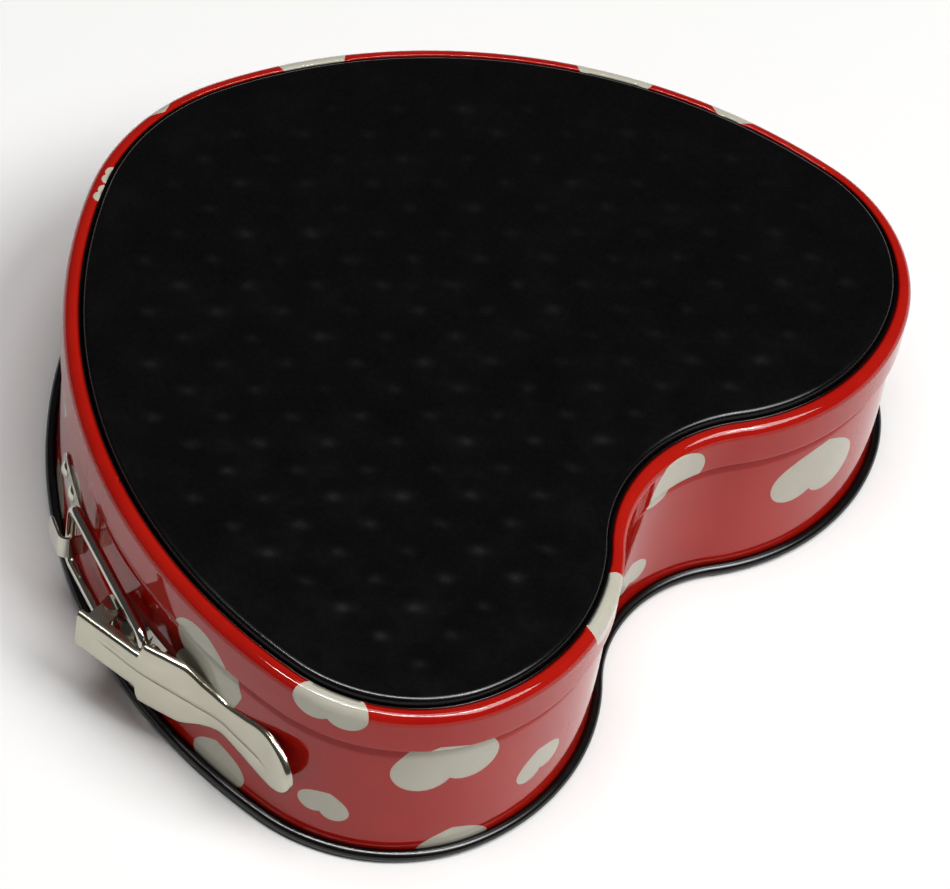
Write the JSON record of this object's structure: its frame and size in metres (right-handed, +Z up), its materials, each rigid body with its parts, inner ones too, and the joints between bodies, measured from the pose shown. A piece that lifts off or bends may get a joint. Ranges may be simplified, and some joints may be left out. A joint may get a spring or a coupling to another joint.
{
  "type": "heart-shaped springform cake tin",
  "caption": "Heart-shaped springform cake tin lying mouth down, with a loose dimpled base plate and an over-centre side clasp.",
  "frame": {"origin": "centre of the bounding box's underside, on the plane of the mouth's rolled bead", "axes": "+Z up through the base plate with the tin lying mouth down, +X across the lobes towards the clasp's side, -Y towards the heart's tip"},
  "size_m": [0.2696, 0.2216, 0.068],
  "materials": {
    "band_coating": "gloss",
    "nonstick": "satin",
    "plated_steel": "polished",
    "wire_steel": "plain"
  },
  "bodies": {
    "tin": {"side_band_clasp_half": "band_coating", "rim_wire_clasp_half": "wire_steel", "base_plate": "nonstick", "lever_bracket": "plated_steel", "bracket_rivet_1": "plated_steel", "bracket_rivet_2": "plated_steel", "lever_pivot_pin": "plated_steel"},
    "hook_side": {"side_band_hook_half": "band_coating", "rim_wire_hook_half": "wire_steel", "hook_bracket": "plated_steel", "hook_rivet_1": "plated_steel", "hook_rivet_2": "plated_steel"},
    "lever": {"lever": "plated_steel"},
    "bail": {"bail": "plated_steel"}
  },
  "joints": [
    {"name": "lever_swing", "type": "hinge", "parent": "tin", "child": "lever", "pos_m": [0.12341, -0.01048, 0.0285], "axis": [0, 0, -1], "range_deg": [0, 100]},
    {"name": "bail_swing", "type": "hinge", "parent": "lever", "child": "bail", "pos_m": [0.12901, 0.00502, 0.0285], "axis": [0, 0, 1], "range_deg": [0, 80]},
    {"name": "band_open", "type": "hinge", "parent": "tin", "child": "hook_side", "pos_m": [-0.13152, 0.05334, 0.0285], "axis": [0, 0, -1], "range_deg": [0, 2.3]}
  ],
  "couplings": [
    {"joint": "bail_swing", "follows": "lever_swing", "ratio": 0.765},
    {"joint": "band_open", "follows": "lever_swing", "ratio": 0.0224}
  ]
}
